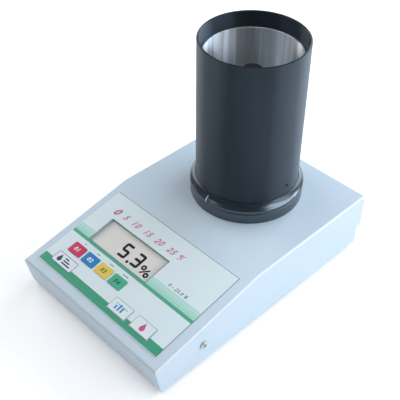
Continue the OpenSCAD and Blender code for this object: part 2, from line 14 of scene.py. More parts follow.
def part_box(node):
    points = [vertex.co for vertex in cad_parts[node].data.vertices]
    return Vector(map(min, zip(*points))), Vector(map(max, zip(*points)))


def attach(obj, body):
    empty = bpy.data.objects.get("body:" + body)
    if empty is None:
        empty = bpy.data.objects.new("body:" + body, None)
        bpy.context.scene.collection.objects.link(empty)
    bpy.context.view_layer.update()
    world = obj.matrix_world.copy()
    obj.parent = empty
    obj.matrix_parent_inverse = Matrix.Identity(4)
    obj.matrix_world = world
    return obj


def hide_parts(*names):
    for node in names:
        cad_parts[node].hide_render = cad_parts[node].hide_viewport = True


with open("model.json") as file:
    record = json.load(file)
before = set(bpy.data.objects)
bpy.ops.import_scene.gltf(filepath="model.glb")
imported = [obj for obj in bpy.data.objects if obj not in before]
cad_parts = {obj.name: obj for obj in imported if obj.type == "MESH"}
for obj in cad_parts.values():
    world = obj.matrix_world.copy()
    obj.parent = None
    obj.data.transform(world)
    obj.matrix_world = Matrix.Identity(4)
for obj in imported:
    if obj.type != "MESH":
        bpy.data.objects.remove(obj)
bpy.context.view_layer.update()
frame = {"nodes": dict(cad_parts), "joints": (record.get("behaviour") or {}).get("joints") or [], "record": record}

MM = 0.001
NODES = frame["nodes"]
SLOT_OF = {s["node"]: s["material_slot"] for s in frame["record"]["subparts"]}
HOUSING = "housing"
GRADE_KEYS = ["key_grade_1", "key_grade_2", "key_grade_3", "key_grade_4"]
COMMAND_KEYS = ["key_average", "key_measure"]

# The sloping panel: its normal is the way the keys come up, its origin the overlay's front edge.
PRESS_AXIS = Vector(next(j["axis"] for j in frame["joints"] if j["name"] == "press_measure"))
NORMAL = -PRESS_AXIS.normalized()
UP_SLOPE = Vector((0, NORMAL.z, -NORMAL.y))
OVERLAY_LO, OVERLAY_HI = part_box("graphic_overlay")
OVERLAY_T = 0.5 * MM
PANEL_ORIGIN = Vector((0, OVERLAY_LO.y, OVERLAY_LO.z + OVERLAY_T * NORMAL.z))
PANEL_L = (OVERLAY_HI.y - OVERLAY_LO.y) / UP_SLOPE.y

# The measuring cell: its axis, the deck it stands on, and the radii of the tube and of the rings round it.
TUBE_LO, TUBE_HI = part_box("measuring_tube")
CELL_X = (TUBE_LO.x + TUBE_HI.x) / 2
CELL_Y = (TUBE_LO.y + TUBE_HI.y) / 2
DECK_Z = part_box("base_flange")[0].z
TUBE_R = (TUBE_HI.x - TUBE_LO.x) / 2
RING_BORE_R = TUBE_R + 0.05 * MM

# Places on the panel in mm: from its middle line, and up from the overlay's front edge.
LEFT, RIGHT = OVERLAY_LO.x / MM, OVERLAY_HI.x / MM
WINDOW_LO, WINDOW_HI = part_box("lcd_window")
WINDOW_L, WINDOW_R = WINDOW_LO.x / MM - 0.05, WINDOW_HI.x / MM + 0.05
WINDOW_S0, WINDOW_S1 = 36.25, 60.15
MARGIN = 0.4  # unprinted rim of the overlay
INK = 0.03  # thickness of a print
FACE = 0.41  # height of a key's face over the overlay

# ---------------------------------------------------------------- materials


def srgb(r, g, b):
    """A linear colour from the 0 to 255 values of a paint chart."""
    def channel(v):
        v /= 255
        return v / 12.92 if v <= 0.04045 else ((v + 0.055) / 1.055) ** 2.4
    return (channel(r), channel(g), channel(b), 1.0)


class Graph:
    """A material's node tree, with short calls for what the materials below have in common."""

    def __init__(self, name, roughness=0.5, metallic=0.0, specular=0.5):
        self.material = bpy.data.materials.new(name)
        self.material.use_nodes = True
        self.nodes = self.material.node_tree.nodes
        self.links = self.material.node_tree.links
        self.bsdf = self.nodes["Principled BSDF"]
        self.bsdf.inputs["Roughness"].default_value = roughness
        self.bsdf.inputs["Metallic"].default_value = metallic
        self.bsdf.inputs["Specular IOR Level"].default_value = specular
        texture = self.nodes.new("ShaderNodeTexCoord")
        self.place = texture.outputs["Object"]
        self.facing = texture.outputs["Normal"]

    def put(self, socket, value):
        """Links a socket to another node's output, or sets it to a constant."""
        if isinstance(value, bpy.types.NodeSocket):
            self.links.new(value, socket)
        else:
            socket.default_value = value

    def scaled(self, scale):
        """The object's own coordinates, stretched by three factors."""
        node = self.nodes.new("ShaderNodeMapping")
        node.inputs["Scale"].default_value = scale
        self.links.new(self.place, node.inputs["Vector"])
        return node.outputs["Vector"]

    def noise(self, scale, detail=4.0, rough=0.55, vector=None):
        """Cloudy noise from 0 to 1, with scale in patches per metre."""
        node = self.nodes.new("ShaderNodeTexNoise")
        node.inputs["Scale"].default_value = scale
        node.inputs["Detail"].default_value = detail
        node.inputs["Roughness"].default_value = rough
        self.links.new(vector or self.place, node.inputs["Vector"])
        return node.outputs["Fac"]

    def cells(self, scale, vector=None):
        """The distance to the nearest of many scattered points."""
        node = self.nodes.new("ShaderNodeTexVoronoi")
        node.inputs["Scale"].default_value = scale
        self.links.new(vector or self.place, node.inputs["Vector"])
        return node.outputs["Distance"]

    def ramp(self, value, stops):
        """A colour or grey ramp. stops is a list of (place, colour or grey)."""
        node = self.nodes.new("ShaderNodeValToRGB")
        elements = node.color_ramp.elements
        for i, (place, colour) in enumerate(stops):
            e = elements[i] if i < 2 else elements.new(place)
            e.position = place
            e.color = colour if isinstance(colour, tuple) else (colour, colour, colour, 1)
        self.links.new(value, node.inputs["Fac"])
        return node.outputs["Color"]

    def calculate(self, operation, a, b=0.0, c=0.0):
        """The result of one operation on up to three numbers."""
        node = self.nodes.new("ShaderNodeMath")
        node.operation = operation
        for socket, value in zip(node.inputs, (a, b, c)):
            self.put(socket, value)
        return node.outputs["Value"]

    def project(self, operation, a, b=(0, 0, 0)):
        """The number that a vector operation gives: a length or a dot product."""
        node = self.nodes.new("ShaderNodeVectorMath")
        node.operation = operation
        self.put(node.inputs[0], a)
        self.put(node.inputs[1], b)
        return node.outputs["Value"]

    def split(self, vector):
        """The X, Y and Z of a vector."""
        node = self.nodes.new("ShaderNodeSeparateXYZ")
        self.links.new(vector, node.inputs["Vector"])
        return node.outputs

    def mix(self, factor, a, b, blend="MIX"):
        """A mix of two colours. The node's sockets 0, 6 and 7 and its output 2 are those for colours."""
        node = self.nodes.new("ShaderNodeMix")
        node.data_type = "RGBA"
        node.blend_type = blend
        self.put(node.inputs[0], factor)
        self.put(node.inputs[6], a)
        self.put(node.inputs[7], b)
        return node.outputs[2]

    def layer(self, factor, under, over):
        """One shader over another."""
        node = self.nodes.new("ShaderNodeMixShader")
        self.links.new(factor, node.inputs["Fac"])
        self.links.new(under, node.inputs[1])
        self.links.new(over, node.inputs[2])
        return node.outputs["Shader"]

    def bump(self, height, distance, strength, under=None):
        """Relief from a height of 0 to 1, distance deep. It lies on the relief under it."""
        node = self.nodes.new("ShaderNodeBump")
        node.inputs["Strength"].default_value = strength
        node.inputs["Distance"].default_value = distance
        self.links.new(height, node.inputs["Height"])
        if under is not None:
            self.links.new(under, node.inputs["Normal"])
        return node.outputs["Normal"]

    def turned(self, amount):
        """Spreads reflections along Z, as fine lathe or honing grooves round Z do."""
        self.bsdf.inputs["Anisotropic"].default_value = amount
        self.bsdf.inputs["Anisotropic Rotation"].default_value = 0.25
        tangent = self.nodes.new("ShaderNodeTangent")
        tangent.direction_type = "RADIAL"
        tangent.axis = "Z"
        self.links.new(tangent.outputs["Tangent"], self.bsdf.inputs["Tangent"])

    def edges(self, radius):
        """Above 0 beside the object's edges, and 0 one radius away from them."""
        bevel = self.nodes.new("ShaderNodeBevel")
        bevel.samples = 4
        bevel.inputs["Radius"].default_value = radius
        geometry = self.nodes.new("ShaderNodeNewGeometry")
        same_way = self.project("DOT_PRODUCT", bevel.outputs["Normal"], geometry.outputs["Normal"])
        return self.calculate("SUBTRACT", 1.0, same_way)

    def finish(self, colour, roughness=None, normal=None):
        """Wires up the main shader and gives the material."""
        for name, value in (("Base Color", colour), ("Roughness", roughness), ("Normal", normal)):
            if value is not None:
                self.put(self.bsdf.inputs[name], value)
        return self.material


def shade(colour, factor, lift=0.0):
    """A lighter or darker colour, kept in range."""
    return tuple(min(1.0, c * factor + lift) for c in colour[:3]) + (1,)


def spread(g, colour, amount, scale, detail=5.0):
    """colour with slow light and dark patches of the given amount."""
    stops = [(0.3, shade(colour, 1 - amount)), (0.7, shade(colour, 1 + amount))]
    return g.ramp(g.noise(scale, detail), stops)


def powder_coat(name, colour):
    """Baked paint with a fine orange peel and faint speckle, and painted highlights on its edges and folds."""
    g = Graph(name, specular=0.45)
    base = spread(g, colour, 0.02, 14)
    speckle = g.ramp(g.cells(2600), [(0.05, 0.0), (0.16, 1.0)])
    base = g.mix(0.05, base, speckle, "MULTIPLY")
    # painted highlight: paler near every edge, as where the bends catch the light
    painted_edge_highlight = g.ramp(g.edges(0.6 * MM), [(0.02, 0.0), (0.2, 0.3)])
    base = g.mix(painted_edge_highlight, base, srgb(236, 243, 248))
    # painted highlight: lightest on the long side folds, where the face turns from up to sideways and catches the
    # light
    facing = g.split(g.facing)
    painted_fold_highlight = g.calculate("MULTIPLY", g.calculate("ABSOLUTE", facing["X"]), facing["Z"])
    base = g.mix(g.ramp(painted_fold_highlight, [(0.22, 0.0), (0.48, 0.6)]), base, srgb(252, 254, 255))
    peel = g.bump(g.noise(900, 2.0), 0.05 * MM, 0.35)
    grain = g.bump(g.noise(5200, 3.0), 0.02 * MM, 0.3, peel)
    rough = g.ramp(g.noise(60, 3.0), [(0.3, 0.38), (0.7, 0.48)])
    return g.finish(base, rough, grain)


def printed_film(name, colour, roughness=0.38, patches=0.012):
    """Back-printed plastic film with a fine sanded face."""
    g = Graph(name, specular=0.45)
    base = spread(g, colour, patches, 30)
    grain = g.bump(g.noise(4200, 4.0), 0.02 * MM, 0.28)
    rough = g.ramp(g.noise(120, 3.0), [(0.3, roughness - 0.05), (0.7, roughness + 0.07)])
    return g.finish(base, rough, grain)


def ink(name, colour, roughness=0.45):
    """Screen-printed ink with a slightly uneven coat."""
    g = Graph(name, roughness=roughness, specular=0.4)
    base = spread(g, colour, 0.05, 700, 3.0)
    return g.finish(base, normal=g.bump(g.noise(6000, 2.0), 0.01 * MM, 0.3))


def anodised(name, colour, low, high, ior, turned, tint):
    """Black-anodised aluminium, turned on a lathe. Its roughness runs from low to high in wipe marks."""
    g = Graph(name, specular=1.0)
    g.turned(turned)
    g.bsdf.inputs["IOR"].default_value = ior
    g.bsdf.inputs["Specular Tint"].default_value = tint
    rings = g.noise(1.0, 4.0, 0.6, g.scaled((18, 18, 5200)))
    wipes = g.noise(1.0, 5.0, 0.6, g.scaled((55, 55, 16)))
    base = spread(g, colour, 0.12, 45)
    edge = g.ramp(g.edges(0.3 * MM), [(0.03, 0.0), (0.3, 0.25)])
    base = g.mix(edge, base, srgb(104, 114, 128))
    rough = g.ramp(wipes, [(0.3, low), (0.7, high)])
    return g.finish(base, rough, g.bump(rings, 0.01 * MM, 0.2))


def polished_steel(name, colour, low, high):
    """Honed steel tube: streaks along Z from low to high roughness, and faint stains."""
    g = Graph(name, metallic=1.0)
    g.turned(1.0)
    lines = g.noise(1.0, 5.0, 0.62, g.scaled((1500, 1500, 14)))
    broad = g.noise(1.0, 4.0, 0.6, g.scaled((150, 150, 5)))
    stain = g.noise(70, 5.0)
    base = g.ramp(broad, [(0.4, shade(colour, 0.66)), (0.58, colour)])
    base = g.mix(0.12, base, g.ramp(stain, [(0.35, 0.75), (0.65, 1.0)]), "MULTIPLY")
    rough = g.ramp(lines, [(0.25, low), (0.75, high)])
    return g.finish(base, rough, g.bump(lines, 0.012 * MM, 0.35))


def plated(name, colour, roughness):
    """Plated steel or brass with fine scratches and slow patches of a duller tone."""
    g = Graph(name, metallic=1.0)
    scratches = g.noise(1.0, 4.0, 0.6, g.scaled((3500, 260, 900)))
    base = spread(g, colour, 0.08, 260)
    rough = g.ramp(scratches, [(0.3, roughness - 0.08), (0.7, roughness + 0.14)])
    return g.finish(base, rough, g.bump(scratches, 0.01 * MM, 0.35))


def moulded(name, colour, roughness, grain=2400, depth=0.03 * MM):
    """Moulded plastic with a spark-eroded grain and paler edges."""
    g = Graph(name, specular=0.45)
    base = spread(g, colour, 0.06, 90)
    edge = g.ramp(g.edges(0.3 * MM), [(0.03, 0.0), (0.3, 0.18)])
    base = g.mix(edge, base, shade(colour, 1.6, 0.03))
    rough = g.ramp(g.noise(300, 3.0), [(0.3, roughness - 0.06), (0.7, roughness + 0.08)])
    return g.finish(base, rough, g.bump(g.noise(grain, 4.0), depth, 0.4))


def rubber(name, colour):
    """Moulded rubber with dust in its pores."""
    g = Graph(name, roughness=0.82, specular=0.25)
    dust = g.ramp(g.noise(900, 5.0), [(0.5, 0.0), (0.75, 0.3)])
    base = g.mix(dust, spread(g, colour, 0.15, 120), srgb(120, 116, 108))
    return g.finish(base, normal=g.bump(g.noise(1800, 4.0), 0.05 * MM, 0.5))


def laminate(name, colour):
    """A circuit board: solder mask over a woven laminate with pale tracks."""
    g = Graph(name, roughness=0.35, specular=0.5)
    flat = g.scaled((1, 1, 0.01))
    tracks = g.ramp(g.cells(330, flat), [(0.30, 0.0), (0.34, 1.0), (0.40, 1.0), (0.44, 0.0)])
    base = g.mix(g.calculate("MULTIPLY", tracks, 0.5), spread(g, colour, 0.08, 60), shade(colour, 1.7))
    return g.finish(base, normal=g.bump(g.noise(1500, 2.0), 0.02 * MM, 0.3))


def clear_window(name):
    """A clear cover: you see through it, and it mirrors at a low angle."""
    g = Graph(name)
    g.nodes.remove(g.bsdf)
    clear = g.nodes.new("ShaderNodeBsdfTransparent")
    clear.inputs["Color"].default_value = (0.985, 0.995, 0.99, 1)
    gloss = g.nodes.new("ShaderNodeBsdfGlossy")
    gloss.inputs["Color"].default_value = (1, 1, 1, 1)
    smear = g.ramp(g.noise(90, 4.0), [(0.35, 0.16), (0.7, 0.22)])
    g.links.new(smear, gloss.inputs["Roughness"])
    weight = g.nodes.new("ShaderNodeLayerWeight")
    weight.inputs["Blend"].default_value = 0.5
    slant = g.calculate("POWER", weight.outputs["Facing"], 4.0)
    mirror = g.calculate("MULTIPLY_ADD", slant, 0.35, 0.015)
    face = g.layer(mirror, clear.outputs["BSDF"], gloss.outputs["BSDF"])
    # its cut sides are a frosted pale grey: they are the faces that stand square to the panel
    upright = g.calculate("ABSOLUTE", g.project("DOT_PRODUCT", g.facing, NORMAL))
    frosted = g.nodes.new("ShaderNodeBsdfDiffuse")
    g.links.new(spread(g, srgb(196, 204, 200), 0.06, 400), frosted.inputs["Color"])
    whole = g.layer(g.calculate("LESS_THAN", upright, 0.6), face, frosted.outputs["BSDF"])
    g.links.new(whole, g.nodes["Material Output"].inputs["Surface"])
    return g.material


def display_glass(name, colour, painted_shade_colour, node):
    """The display's face: even grey, with painted shade that darkens it towards the edges of the window over it.
    """
    g = Graph(name, specular=0.25)
    lo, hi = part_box(node)
    place = g.split(g.place)

    def off_centre(axis, low, high):
        """0 on the glass's middle line, 1 at its edge."""
        offset = g.calculate("SUBTRACT", place[axis], (low + high) / 2)
        return g.calculate("ABSOLUTE", g.calculate("DIVIDE", offset, (high - low) / 2))

    across = g.calculate("POWER", off_centre("X", lo.x, hi.x), 7.0)
    along = g.calculate("POWER", off_centre("Y", lo.y, hi.y), 4.0)
    # painted shade: darker towards the glass's edges, where the window's recess shades it
    painted_shade = g.ramp(g.calculate("MAXIMUM", across, along), [(0.05, 0.0), (1.0, 0.75)])
    base = g.mix(painted_shade, spread(g, colour, 0.015, 40), painted_shade_colour)
    return g.finish(base, g.ramp(g.noise(200, 2.0), [(0.3, 0.5), (0.7, 0.6)]))


def floor_paint(name):
    """White paper. It glows a little, and more where it runs out of the lamps' reach."""
    far = 4.0  # metres from the object
    g = Graph(name, roughness=0.7, specular=0.2)
    g.bsdf.inputs["Emission Color"].default_value = (1, 1, 1, 1)
    reach = g.calculate("DIVIDE", g.project("LENGTH", g.place), far)
    glow = g.ramp(reach, [(0.15, 0.235), (0.8, 0.8)])
    g.links.new(glow, g.bsdf.inputs["Emission Strength"])
    base = spread(g, (0.93, 0.935, 0.94, 1), 0.006, 6)
    return g.finish(base, normal=g.bump(g.noise(300, 3.0), 0.05 * MM, 0.1))


SLOTS = {
    "housing_paint": powder_coat("housing_paint", srgb(201, 217, 229)),
    "zinc_sheet": plated("zinc_sheet", srgb(176, 180, 184), 0.4),
    "screw_steel": plated("screw_steel", srgb(196, 196, 192), 0.28),
    "dark_steel": plated("dark_steel", srgb(52, 54, 58), 0.4),
    "brass": plated("brass", srgb(206, 174, 108), 0.3),
    "foot_rubber": rubber("foot_rubber", srgb(46, 46, 48)),
    "soft_rubber": rubber("soft_rubber", srgb(110, 110, 116)),
    "overlay_film": printed_film("overlay_film", srgb(223, 237, 241)),
    "clear_window": clear_window("clear_window"),
    # the lcd_glass's second colour is its painted shade at the window's edges
    "lcd_glass": display_glass("lcd_glass", srgb(240, 233, 231), srgb(150, 166, 158), "lcd_panel"),
    "key_crimson": printed_film("key_crimson", srgb(206, 46, 98), 0.35, 0.03),
    "key_blue": printed_film("key_blue", srgb(14, 130, 192), 0.35, 0.03),
    "key_yellow": printed_film("key_yellow", srgb(232, 205, 88), 0.35, 0.03),
    "key_green": printed_film("key_green", srgb(70, 176, 142), 0.35, 0.03),
    "key_pale_blue": printed_film("key_pale_blue", srgb(226, 238, 240), 0.35),
    "key_pale_rose": printed_film("key_pale_rose", srgb(228, 237, 240), 0.35),
    "black_plastic": moulded("black_plastic", srgb(40, 42, 46), 0.45),
    "ivory_plastic": moulded("ivory_plastic", srgb(226, 222, 210), 0.5),
    "circuit_board": laminate("circuit_board", srgb(36, 112, 72)),
    "capacitor_can": moulded("capacitor_can", srgb(48, 62, 110), 0.35),
    "black_anodised": anodised(
        "black_anodised", srgb(20, 19, 19),
        low=0.38, high=0.48, ior=1.49, turned=1.0, tint=(0.56, 0.76, 1.0, 1),
    ),
    "black_gloss": anodised(
        "black_gloss", srgb(27, 32, 39),
        low=0.22, high=0.27, ior=1.7, turned=0.0, tint=(0.74, 0.88, 1.0, 1),
    ),
    "sleeve_plastic": moulded("sleeve_plastic", srgb(70, 76, 84), 0.4),
    "liner_steel": polished_steel("liner_steel", srgb(228, 236, 245), 0.50, 0.62),
    "drawer_plastic": moulded("drawer_plastic", srgb(48, 49, 52), 0.55),
    "battery_case": plated("battery_case", srgb(150, 124, 72), 0.3),
    "switch_plastic": moulded("switch_plastic", srgb(30, 30, 33), 0.22, 900, 0.01 * MM),
    "red_insulation": moulded("red_insulation", srgb(166, 52, 44), 0.45),
    "grey_insulation": moulded("grey_insulation", srgb(128, 132, 140), 0.45),
}
INKS = {
    "green": ink("ink_green", srgb(58, 158, 124)),
    "rule_green": ink("ink_rule_green", srgb(84, 168, 142)),
    "tint_1": ink("ink_tint_1", srgb(146, 214, 194)),
    "tint_2": ink("ink_tint_2", srgb(164, 220, 205)),
    "tint_3": ink("ink_tint_3", srgb(180, 224, 214)),
    "border": ink("ink_border", srgb(92, 134, 118)),
    # painted shadow along the film's far and right edges
    "edge": ink("ink_edge_shadow", srgb(44, 60, 72)),
    "grey": ink("ink_grey", srgb(150, 162, 170)),
    "navy": ink("ink_navy", srgb(52, 62, 84)),
    "crimson": ink("ink_crimson", srgb(198, 84, 134)),
    "rose": ink("ink_rose", srgb(206, 120, 160)),
    "blue": ink("ink_blue", srgb(78, 146, 206)),
    "white": ink("ink_white", srgb(238, 244, 248)),
    "plate": ink("ink_plate", srgb(228, 236, 246)),
    "olive": ink("ink_olive", srgb(92, 84, 40)),
    "teal": ink("ink_teal", srgb(24, 86, 74)),
    "digit": ink("lcd_digit", srgb(22, 22, 24), 0.35),
}

# ---------------------------------------------------------------- mesh helpers


def piece(name, verts, faces, material, body, smooth=None):
    """A mesh object that rides on a body. Edges sharper than smooth, in degrees, stay sharp."""
    mesh = bpy.data.meshes.new(name)
    mesh.from_pydata([tuple(v) for v in verts], [], faces)
    mesh.materials.append(material)
    work = bmesh.new()
    work.from_mesh(mesh)
    bmesh.ops.recalc_face_normals(work, faces=work.faces)
    work.to_mesh(mesh)
    work.free()
    if smooth is not None:
        mesh.shade_smooth()
        mesh.set_sharp_from_angle(angle=math.radians(smooth))
    obj = bpy.data.objects.new(name, mesh)
    bpy.context.scene.collection.objects.link(obj)
    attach(obj, body)
    return obj


def on_panel(x, s, n):
    """A point from its place on the panel in mm: across, up the slope from the overlay's edge, out."""
    return PANEL_ORIGIN + Vector((x * MM, 0, 0)) + UP_SLOPE * (s * MM) + NORMAL * (n * MM)


def around(count):
    """Pairs of neighbouring numbers round a closed ring."""
    return [(i, (i + 1) % count) for i in range(count)]


def solids(name, stacks, material, body, smooth=None):
    """One piece made of closed solids, each a stack of rings of points from its lower face to its upper."""
    verts, faces = [], []
    for rings in stacks:
        start, count = len(verts), len(rings[0])
        verts += [point for ring in rings for point in ring]
        last = len(verts) - count
        faces += [list(range(start, start + count))[::-1], list(range(last, last + count))]
        for low in range(start, last, count):
            faces += [[low + i, low + j, low + count + j, low + count + i] for i, j in around(count)]
    return piece(name, verts, faces, material, body, smooth)


def prism(name, outlines, n0, n1, material, body, smooth=None):
    """Flat shapes on the panel from height n0 to n1, each given by its outline in mm."""
    stacks = [[[on_panel(x, s, n) for x, s in outline] for n in (n0, n1)] for outline in outlines]
    return solids(name, stacks, material, body, smooth=smooth)


def frame_prism(name, outer, inner, n0, n1, material, body):
    """A flat band on the panel between two outlines with the same number of points."""
    count = len(outer)
    verts = [on_panel(x, s, n) for n in (n0, n1) for outline in (outer, inner) for x, s in outline]
    faces = []
    for i, j in around(count):
        low_out, low_in, high_out, high_in = (i + ring * count for ring in range(4))
        next_low_out, next_low_in, next_high_out, next_high_in = (j + ring * count for ring in range(4))
        faces += [
            [low_out, next_low_out, next_high_out, high_out],
            [low_in, high_in, next_high_in, next_low_in],
            [high_out, next_high_out, next_high_in, high_in],
            [low_out, low_in, next_low_in, next_low_out],
        ]
    return piece(name, verts, faces, material, body)


def arc(cx, cy, r, start, end, steps):
    """Points on an arc about (cx, cy), angles in degrees."""
    angles = [math.radians(start + (end - start) * i / steps) for i in range(steps + 1)]
    return [(cx + r * math.cos(a), cy + r * math.sin(a)) for a in angles]


def fillet(cx, cy, r, start, end):
    """An arc that rounds a corner of a turned profile."""
    return arc(cx, cy, r, start, end, 6)


def rounded(cx, cs, w, l, r):
    """Outline of a rectangle with round corners."""
    points = []
    for k, (sx, ss) in enumerate(((1, 1), (-1, 1), (-1, -1), (1, -1))):
        points += arc(cx + sx * (w / 2 - r), cs + ss * (l / 2 - r), r, 90 * k, 90 * (k + 1), 8)
    return points


def rect(x0, s0, x1, s1):
    return [(x0, s0), (x1, s0), (x1, s1), (x0, s1)]


def disc(cx, cs, r, steps=20):
    return arc(cx, cs, r, 0, 360, steps)[:-1]


def drop(cx, cs, r):
    """Outline of a drop: a round bottom that runs to a point above it."""
    shoulder, tip = 35, 2.2 * r
    return arc(cx, cs, r, 180 - shoulder, 360 + shoulder, 20) + [(cx, cs + tip)]


def turned_points(profile, steps):
    """The points of a (radius, height) profile, turned about the cell's axis from the deck up."""
    angles = [2 * math.pi * i / steps for i in range(steps)]
    return [
        (CELL_X + r * math.cos(a), CELL_Y + r * math.sin(a), DECK_Z + h)
        for a in angles for r, h in profile
    ]


def stand_in(name, verts, faces, node):
    """A turned piece that takes a CAD node's place, in its material."""
    slot = SLOT_OF[node]
    obj = piece(name, verts, faces, SLOTS[slot], HOUSING, smooth=32)
    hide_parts(node)
    return obj


def lathe(name, profile, node, steps=256):
    """A closed (radius, height) profile in metres turned about the cell's axis."""
    count = len(profile)
    faces = [
        [a * count + i, b * count + i, b * count + j, a * count + j]
        for a, b in around(steps) for i, j in around(count)
    ]
    return stand_in(name, turned_points(profile, steps), faces, node)


def solid_lathe(name, profile, node):
    """As lathe, for an open profile that starts and ends on the axis."""
    steps, side = 96, profile[1:-1]
    count = len(side)
    verts = turned_points(side, steps)
    first, last = len(verts), len(verts) + 1
    verts += [(CELL_X, CELL_Y, DECK_Z + height) for radius, height in (profile[0], profile[-1])]
    faces = []
    for a, b in around(steps):
        low, next_low = a * count, b * count
        faces += [[low + i, next_low + i, next_low + i + 1, low + i + 1] for i in range(count - 1)]
        faces += [[first, next_low, low], [last, low + count - 1, next_low + count - 1]]
    return stand_in(name, verts, faces, node)


def box_of_turned(node):
    """A turned node's outer radius, and the heights of its ends over the deck."""
    lo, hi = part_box(node)
    return (hi.x - lo.x) / 2, lo.z - DECK_Z, hi.z - DECK_Z


def text_piece(name, words, x, s, height, material, body, n, shear, spacing=1.0, bold=0.0):
    """Raised figures on the panel, height mm high. Their base line starts at x, s."""
    share = 0.73  # a figure's height as a share of the font's size
    curve = bpy.data.curves.new(name + "_outline", "FONT")
    curve.body = words
    curve.size = height / share
    curve.shear = shear
    curve.space_character = spacing
    curve.extrude = INK / 2
    curve.offset = bold
    curve.resolution_u = 6
    holder = bpy.data.objects.new(name + "_outline", curve)
    bpy.context.scene.collection.objects.link(holder)
    bpy.context.view_layer.update()
    made = bpy.data.meshes.new_from_object(holder)
    verts = [on_panel(x + v.co.x, s + v.co.y, n + v.co.z + INK / 2) for v in made.vertices]
    faces = [list(p.vertices) for p in made.polygons]
    bpy.data.objects.remove(holder)
    bpy.data.curves.remove(curve)
    bpy.data.meshes.remove(made)
    return piece(name, verts, faces, material, body)


# ---------------------------------------------------------------- CAD nodes that stay

EDGE_RADIUS = {
    "top_cover": 0.18 * MM,
    "base_chassis": 0.15 * MM,
    "side_screws": 0.12 * MM,
    "rear_screws": 0.1 * MM,
    "foot_screws": 0.1 * MM,
    "rubber_feet": 0.4 * MM,
    "graphic_overlay": 0.1 * MM,
    "battery_drawer": 0.35 * MM,
    "battery_housing": 0.3 * MM,
    "switch_body": 0.3 * MM,
    "switch_rocker": 0.3 * MM,
    "battery": 0.5 * MM,
    "cell_floor": 0.2 * MM,
    "temperature_sensor": 0.2 * MM,
    "tube_screws": 0.08 * MM,
    "lcd_window": 0.1 * MM,
}


def dress_cad(name):
    """Gives a CAD node its material, smooth shading and, where it has one, a small edge radius."""
    obj = NODES[name]
    mesh = obj.data
    mesh.materials.clear()
    mesh.materials.append(SLOTS[SLOT_OF[name]])
    mesh.attributes.remove(mesh.attributes["custom_normal"])
    mesh.shade_smooth()
    weld = obj.modifiers.new("weld", "WELD")
    weld.merge_threshold = 0.001 * MM
    flat = obj.modifiers.new("flat", "DECIMATE")
    flat.decimate_type = "DISSOLVE"
    flat.angle_limit = math.radians(0.3)
    if name in EDGE_RADIUS:
        bevel = obj.modifiers.new("edge", "BEVEL")
        bevel.width = EDGE_RADIUS[name]
        bevel.segments = 2
        bevel.limit_method = "ANGLE"
        bevel.angle_limit = math.radians(32)
        bevel.harden_normals = True
    normals = obj.modifiers.new("normals", "WEIGHTED_NORMAL")
    normals.keep_sharp = True


# ---------------------------------------------------------------- measuring cell


def drill_across(obj, name, radius, height):
    """Drills one straight hole along X through the cell's axis."""
    cutter_mesh = bpy.data.meshes.new(name)
    work = bmesh.new()
    bmesh.ops.create_cone(
        work, segments=32, radius1=radius, radius2=radius, depth=4 * TUBE_R, cap_ends=True
    )
    work.to_mesh(cutter_mesh)
    work.free()
    cutter = bpy.data.objects.new(name, cutter_mesh)
    bpy.context.scene.collection.objects.link(cutter)
    cutter.rotation_euler = (0, math.pi / 2, 0)
    cutter.location = (CELL_X, CELL_Y, height)
    cut = obj.modifiers.new("holes", "BOOLEAN")
    cut.operation = "DIFFERENCE"
    cut.object = cutter
    bpy.context.view_layer.update()
    evaluated = obj.evaluated_get(bpy.context.evaluated_depsgraph_get())
    drilled = bpy.data.meshes.new_from_object(evaluated)
    obj.modifiers.clear()
    obj.data = drilled
    bpy.data.objects.remove(cutter)


def build_tube():
    """The black tube with rounded rim edges, the seat in its mouth and two small screw holes."""
    mouth_r, bore_r, seat_depth = 38.25 * MM, 37.7 * MM, 11.5 * MM
    hole_r = 1.3 * MM
    outer, low, top = box_of_turned("measuring_tube")
    seat = top - seat_depth
    edge = 0.4 * MM
    profile = (
        [(bore_r, low), (outer, low)]
        + fillet(outer - edge, top - edge, edge, 0, 90)
        + fillet(mouth_r + edge, top - edge, edge, 90, 180)
        + [(mouth_r, seat), (bore_r, seat)]
    )
    tube = lathe("tube_shell", profile, "measuring_tube")
    screw_lo, screw_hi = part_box("tube_screws")
    drill_across(tube, "tube_holes", hole_r, (screw_lo.z + screw_hi.z) / 2)


def collar_slope(outer, low, high):
    """The collar's bevel: a slightly hollow slope from its band up to the tube."""
    sag = 0.245 * MM
    inner = TUBE_R + 0.5 * MM
    slope = []
    for i in range(1, 11):
        t = i / 10
        dip = sag * math.sin(math.pi * t)
        slope.append((outer - (outer - inner) * t - dip, low + (high - low) * t - dip))
    return slope


def build_collar():
    """The upper ring with its bevel, over a narrow groove. Gives the path of the index line."""
    outer, foot, top = box_of_turned("collar_ring")
    bevel_h, edge = 12.1 * MM, 0.25 * MM
    groove_r, groove_top = outer - 0.8 * MM, foot + 0.4 * MM
    slope = collar_slope(outer, bevel_h, top)
    profile = (
        [(RING_BORE_R, foot), (groove_r, foot), (groove_r, groove_top)]
        + fillet(outer - edge, groove_top + edge, edge, -90, 0)
        + [(outer, bevel_h - 0.1 * MM)] + slope + [(RING_BORE_R, top)]
    )
    lathe("collar", profile, "collar_ring")
    # the line runs over the bevel's lower half and the band under it
    return [slope[5], slope[3], slope[1], (outer, bevel_h), (outer, foot + 0.9 * MM)]


def build_flange():
    """The lower ring, with a recess for the rim of the cell's floor."""
    recess_r, recess_h, edge = 41.55 * MM, 5.1 * MM, 0.5 * MM
    outer, foot, top = box_of_turned("base_flange")
    profile = (
        [(recess_r, foot), (outer - 0.2 * MM, foot), (outer, foot + 0.2 * MM)]
        + fillet(outer - edge, top - edge, edge, 0, 90)
        + [(RING_BORE_R, top), (RING_BORE_R, recess_h), (recess_r, recess_h)]
    )
    lathe("flange", profile, "base_flange")


